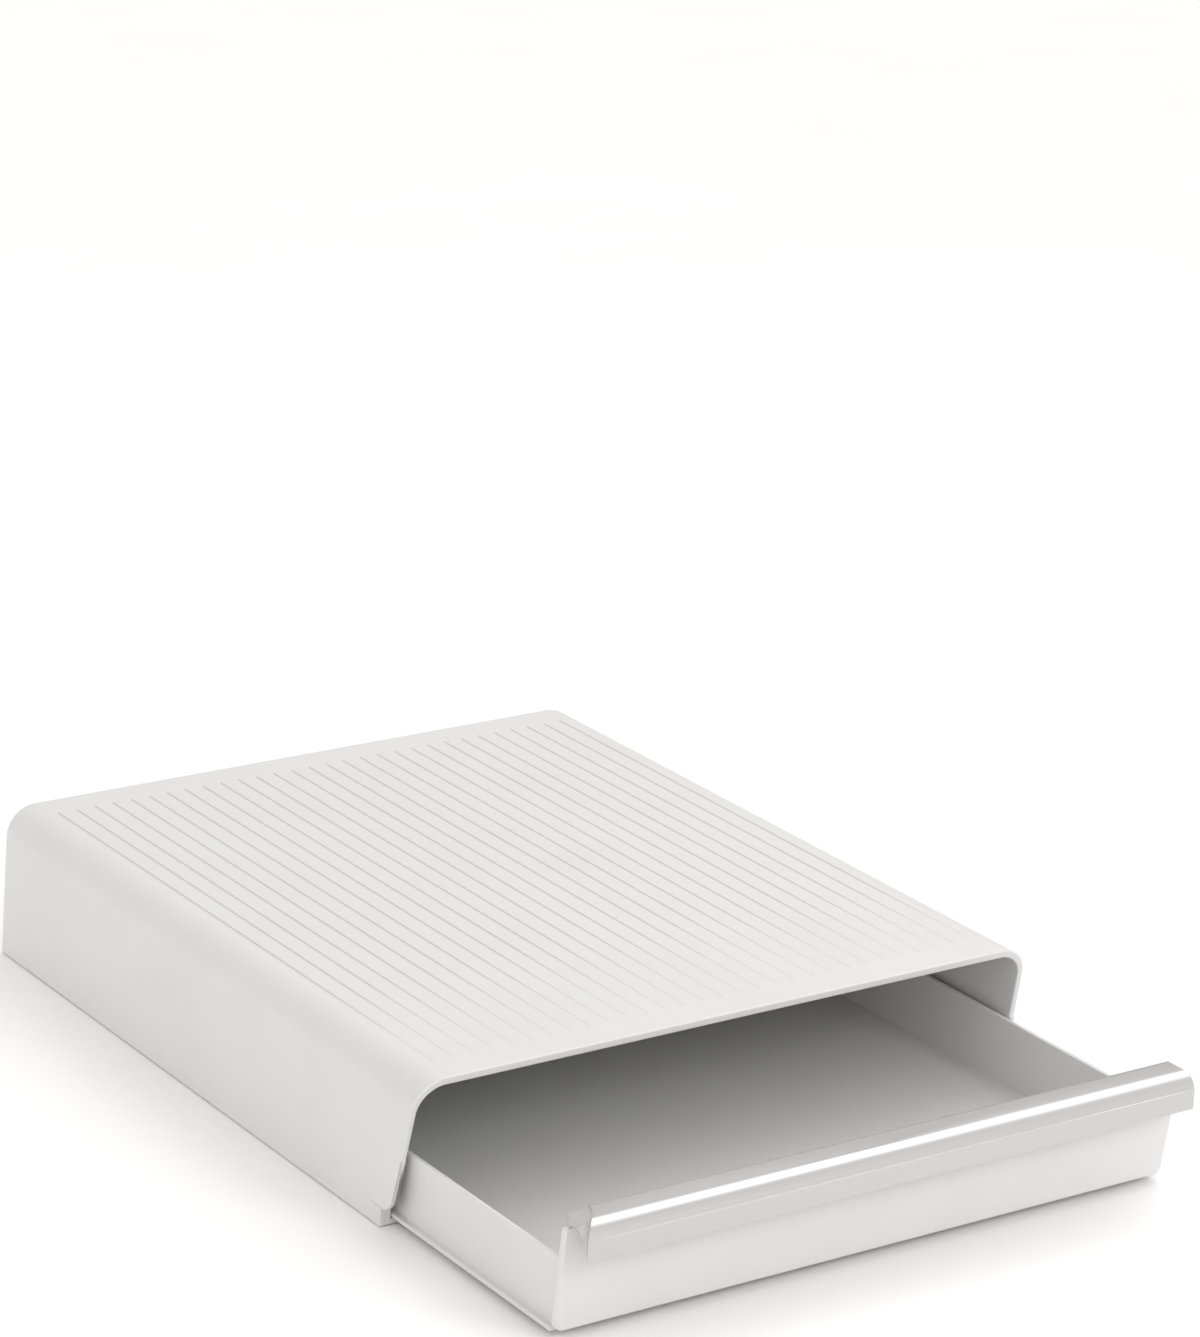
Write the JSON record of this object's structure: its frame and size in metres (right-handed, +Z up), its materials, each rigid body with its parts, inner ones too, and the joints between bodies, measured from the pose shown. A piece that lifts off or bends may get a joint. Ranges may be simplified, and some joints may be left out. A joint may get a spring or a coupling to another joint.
{
  "type": "coffee pod drawer",
  "caption": "Low pull-out drawer for single-serve coffee pods under a grooved platform that carries a coffee machine, with a silver-faced bar handle.",
  "frame": {"origin": "on the table under the middle of the whole object, with the drawer open as in the rest pose", "axes": "+X to the right seen from the front, +Y from the front to the back, +Z up; the drawer opens towards -Y"},
  "size_m": [0.276, 0.4242, 0.062],
  "materials": {
    "shell_white": "satin moulded white plastic",
    "rail_white": "satin moulded white plastic",
    "tray_white": "satin moulded white plastic",
    "panel_white": "smooth moulded white plastic",
    "clear_core": "polished clear acrylic",
    "silver_trim": "satin silver, brushed along its length",
    "foot_rubber": "matt translucent silicone"
  },
  "bodies": {
    "housing": {"housing_shell": "shell_white", "left_runner_rail": "rail_white", "right_runner_rail": "rail_white", "front_left_foot": "foot_rubber", "front_right_foot": "foot_rubber", "back_left_foot": "foot_rubber", "back_right_foot": "foot_rubber"},
    "drawer": {"drawer_tray": "tray_white", "front_panel": "panel_white", "handle_core": "clear_core", "handle_trim": "silver_trim"}
  },
  "joints": [
    {"name": "drawer_slide", "type": "slide", "parent": "housing", "child": "drawer", "axis": [0, -1, 0], "range_m": [-0.103, 0.097]}
  ]
}
